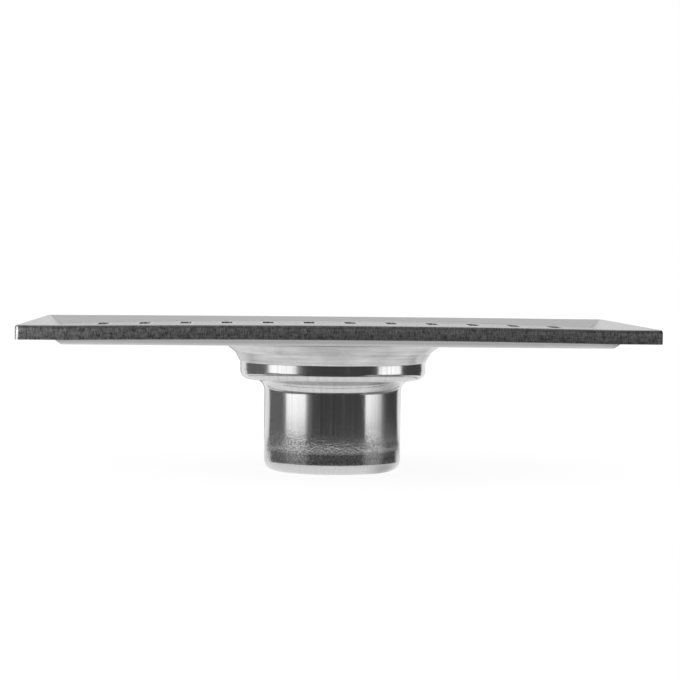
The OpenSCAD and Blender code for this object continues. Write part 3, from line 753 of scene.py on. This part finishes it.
outside = add(tree, "ShaderNodeMath", {0: off_x, 1: off_y}, operation="MAXIMUM")
slot_glint = add(tree, "ShaderNodeMapRange", {"Value": outside, "From Max": GLINT_WIDTH, **FADE_OUT})
reach = add(tree, "ShaderNodeMath", {0: x}, operation="ABSOLUTE")
in_rows = add(tree, "ShaderNodeMath", {0: reach, 1: SLOT_PITCH * PITCHES_TO_END}, operation="LESS_THAN")
slot_glint = add(tree, "ShaderNodeMath", {0: slot_glint, 1: in_rows}, operation="MULTIPLY")
print("slots repeat every", SLOT_PITCH, "m")

# %% [markdown]
# ## The lines of the satin finish
# Fine and broad lines are mixed, both long and thin along X. They change the tone and the roughness
# together, and the painted glints round the slots only make the tone paler.

# %% Material of the cover
FINE_LINE = (0.3 * MM, 28 * MM)        # across and along
BROAD_LINE = (3.0 * MM, 70 * MM)
BROAD_LINE_SHARE = 0.4
COVER_TONES = {"To Min": 0.46, "To Max": 0.59}
# Painted highlight: how much paler the band round each slot is
GLINT_TONE = 0.18                        # how much paler the lips are
COVER_ROUGHNESS = {"To Min": 0.24, "To Max": 0.34}
LINE_DEPTH = 0.006 * MM
LINE_STRENGTH = 0.4

side = add(tree, "ShaderNodeMath", {0: y, 1: z}, operation="ADD")
fine = streaks(tree, side, x, *FINE_LINE)
broad = streaks(tree, side, x, *BROAD_LINE, seed=7.0)
lines = add(tree, "ShaderNodeMix", {"Factor": BROAD_LINE_SHARE, "A": fine, "B": broad})
shade = add(tree, "ShaderNodeMapRange", {"Value": lines, **CRISP_CONTRAST})
tone = add(tree, "ShaderNodeMapRange", {"Value": shade, **COVER_TONES})
# The painted highlight round the slots is added to the tone here
paler = add(tree, "ShaderNodeMath", {0: slot_glint, 1: GLINT_TONE}, operation="MULTIPLY")
tone = add(tree, "ShaderNodeMath", {0: tone, 1: paler}, operation="ADD")
roughness = add(tree, "ShaderNodeMapRange", {"Value": shade, **COVER_ROUGHNESS})
steel_skin(tree, tone, roughness, fine, LINE_DEPTH, LINE_STRENGTH)
print("satin steel: lines", FINE_LINE[0], "m across, along the cover")

# %% [markdown]
# ## Steel, turned knob
# The knob of the strainer is turned on a lathe, so its marks are rings round its axis. The distance from
# the axis and the height are added, and noise in that one value draws the rings on the top and the sides.

# %% Material of the knob
TOOL_MARK = (0.16 * MM, 1.0)       # across; along a ring nothing changes
MARK_DEPTH = 0.01 * MM
MARK_STRENGTH = 0.5
KNOB_ROUGHNESS = {"To Min": 0.14, "To Max": 0.26}

turned_steel, tree = new_material("turned_stainless")
where = add(tree, "ShaderNodeTexCoord")
xyz = add(tree, "ShaderNodeSeparateXYZ", {0: where.outputs["Object"]})
level_place = add(tree, "ShaderNodeCombineXYZ", {"X": xyz.outputs["X"], "Y": xyz.outputs["Y"]})
radius = add(tree, "ShaderNodeVectorMath", {0: level_place}, operation="LENGTH")
path_out = add(tree, "ShaderNodeMath", {0: radius, 1: xyz.outputs["Z"]}, operation="ADD")
marks = streaks(tree, path_out, 0.0, *TOOL_MARK)
shade = add(tree, "ShaderNodeMapRange", {"Value": marks, **CRISP_CONTRAST})
roughness = add(tree, "ShaderNodeMapRange", {"Value": shade, **KNOB_ROUGHNESS})
steel_skin(tree, shade, roughness, marks, MARK_DEPTH, MARK_STRENGTH, dark="#c4c4c4", light="#d8d8d8")
print("turned steel: rings", TOOL_MARK[0], "m across")

# %% [markdown]
# ## Plastic and rubber
# Water traps are moulded in dark polypropylene, which is semi-matt with a fine grain from the mould. The
# O-ring is nitrile rubber, nearly black and duller, with the faint bloom that rubber gets. Both are the
# same kind of surface, so one function makes them, with the colours, the gloss and the grain of each.

# %% Materials of the trap and its seal
CLOUD_SIZE = MM / 0.06       # 17 mm, the soft change of colour over a moulding
GRAIN_DEPTH = 0.02 * MM
GRAIN_STRENGTH = 0.5


def moulded(name, dark, light, low, high, grain):
    """A matt, slightly grained material: low and high are its roughness, grain the size of its dots."""
    made, tree = new_material(name)
    where = add(tree, "ShaderNodeTexCoord")
    cloud = add(tree, "ShaderNodeTexNoise", {"Vector": where.outputs["Object"], "Scale": 1 / CLOUD_SIZE,
                                             "Detail": 3.0})
    dots = add(tree, "ShaderNodeTexNoise", {"Vector": where.outputs["Object"], "Scale": 1 / grain,
                                            "Detail": 2.0})
    shade = add(tree, "ShaderNodeMapRange", {"Value": cloud, **PLAIN_CONTRAST})
    colour = add(tree, "ShaderNodeMix", {"Factor": shade, "A": srgb(dark), "B": srgb(light)},
                 data_type="RGBA")
    roughness = add(tree, "ShaderNodeMapRange", {"Value": dots, **PLAIN_CONTRAST, "To Min": low,
                                                 "To Max": high})
    bump = add(tree, "ShaderNodeBump", {"Height": dots, "Distance": GRAIN_DEPTH,
                                        "Strength": GRAIN_STRENGTH})
    skin = add(tree, "ShaderNodeBsdfPrincipled", {"Base Color": colour, "Roughness": roughness,
                                                  "Normal": bump})
    add(tree, "ShaderNodeOutputMaterial", {"Surface": skin})
    return made


trap_plastic = moulded("moulded_polypropylene", "#2e2f31", "#3a3b3d", 0.38, 0.5, 0.5 * MM)
seal_rubber = moulded("nitrile_rubber", "#171717", "#202020", 0.55, 0.7, 0.35 * MM)
print("moulded materials:", trap_plastic.name, "and", seal_rubber.name)

# %% [markdown]
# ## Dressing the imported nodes
# Every node keeps its own shape and only gets its finish, through its object's material slot.

# %% Give each node its finish
FINISHES = {
    "top_frame": brushed_steel,
    "drain_bowl": drawn_steel,
    "grate": satin_steel,
    "grate_stiffeners": satin_steel,
    "hair_strainer": satin_steel,
    "strainer_knob": turned_steel,
    "trap_tube": trap_plastic,
    "trap_cup": trap_plastic,
    "flange_seal": seal_rubber,
}
for node, finish in FINISHES.items():
    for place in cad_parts[node].material_slots:
        place.link = "OBJECT"
        place.material = finish
print(len(FINISHES), "nodes dressed")

# %% [markdown]
# ## The weld between pan and bowl
# A thin bead of weld closes the seam where the bowl hangs from the pan. From the front it is a dark line
# under the pan. A weld is duller and darker than the sheet beside it, with a change of tone from one drop
# to the next.

# %% Material of the weld
WELD_DROP = MM / 0.9       # 1.1 mm
WELD_ROUGHNESS = {"To Min": 0.3, "To Max": 0.5}

weld_steel, tree = new_material("weld_bead_steel")
where = add(tree, "ShaderNodeTexCoord")
cloud = add(tree, "ShaderNodeTexNoise", {"Vector": where.outputs["Object"], "Scale": 1 / WELD_DROP,
                                         "Detail": 3.0})
shade = add(tree, "ShaderNodeMapRange", {"Value": cloud, **PLAIN_CONTRAST})
colour = add(tree, "ShaderNodeMix", {"Factor": shade, "A": srgb("#6f6f6f"), "B": srgb("#a0a0a0")},
             data_type="RGBA")
roughness = add(tree, "ShaderNodeMapRange", {"Value": cloud, **SOFT_CONTRAST, **WELD_ROUGHNESS})
skin = add(tree, "ShaderNodeBsdfPrincipled", {"Base Color": colour, "Metallic": 1.0,
                                              "Roughness": roughness})
add(tree, "ShaderNodeOutputMaterial", {"Surface": skin})
print("weld: drops", round(WELD_DROP, 4), "m across")

# %% [markdown]
# ## The bead itself
# It is a small circle spun once round the drain's axis, and the last ring of points is joined to the first.
# The operator leaves its points and faces in another order on each run. They are sorted by their places, so
# that the mesh is the same every time.

# %% Weld bead
BEAD_RADIUS = 0.4 * MM
BEAD_SIDES = 8
BEAD_STEPS = 240
SEAM_RADIUS = 42.0 * MM
SEAM_HEIGHT = 47.2 * MM
JOIN_WITHIN = 0.01 * MM
SORT_DIGITS = 6            # places are compared to a thousandth of a millimetre


def sort_by_place(parts, place):
    """Numbers the points, edges or faces of a mesh by their places, from the left end on."""
    in_order = sorted(parts, key=lambda part: place(part).to_tuple(SORT_DIGITS))
    for number, part in enumerate(in_order):
        part.index = number
    parts.sort()


bead = bmesh.new()
bmesh.ops.create_circle(bead, cap_ends=False, segments=BEAD_SIDES, radius=BEAD_RADIUS)
bmesh.ops.rotate(bead, cent=(0, 0, 0), matrix=Matrix.Rotation(math.radians(90), 3, "X"), verts=bead.verts)
bmesh.ops.translate(bead, vec=(SEAM_RADIUS, 0, SEAM_HEIGHT), verts=bead.verts)
bmesh.ops.spin(bead, geom=bead.verts[:] + bead.edges[:], cent=(0, 0, 0), axis=(0, 0, 1), dvec=(0, 0, 0),
               angle=math.radians(360), steps=BEAD_STEPS, use_merge=True, use_duplicate=False)
bmesh.ops.remove_doubles(bead, verts=bead.verts, dist=JOIN_WITHIN)
bmesh.ops.recalc_face_normals(bead, faces=bead.faces)
for face in bead.faces:
    face.smooth = True
sort_by_place(bead.verts, lambda point: point.co)
sort_by_place(bead.edges, lambda edge: edge.verts[0].co + edge.verts[1].co)
sort_by_place(bead.faces, lambda face: face.calc_center_median())
weld = place_mesh("seam_weld", bead, weld_steel)
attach(weld, "root")
print("weld bead:", len(weld.data.polygons), "faces")

# %% [markdown]
# ## Picture settings
# The Standard view shows colours as they are written.

# %% View
bpy.context.scene.view_settings.view_transform = "Standard"
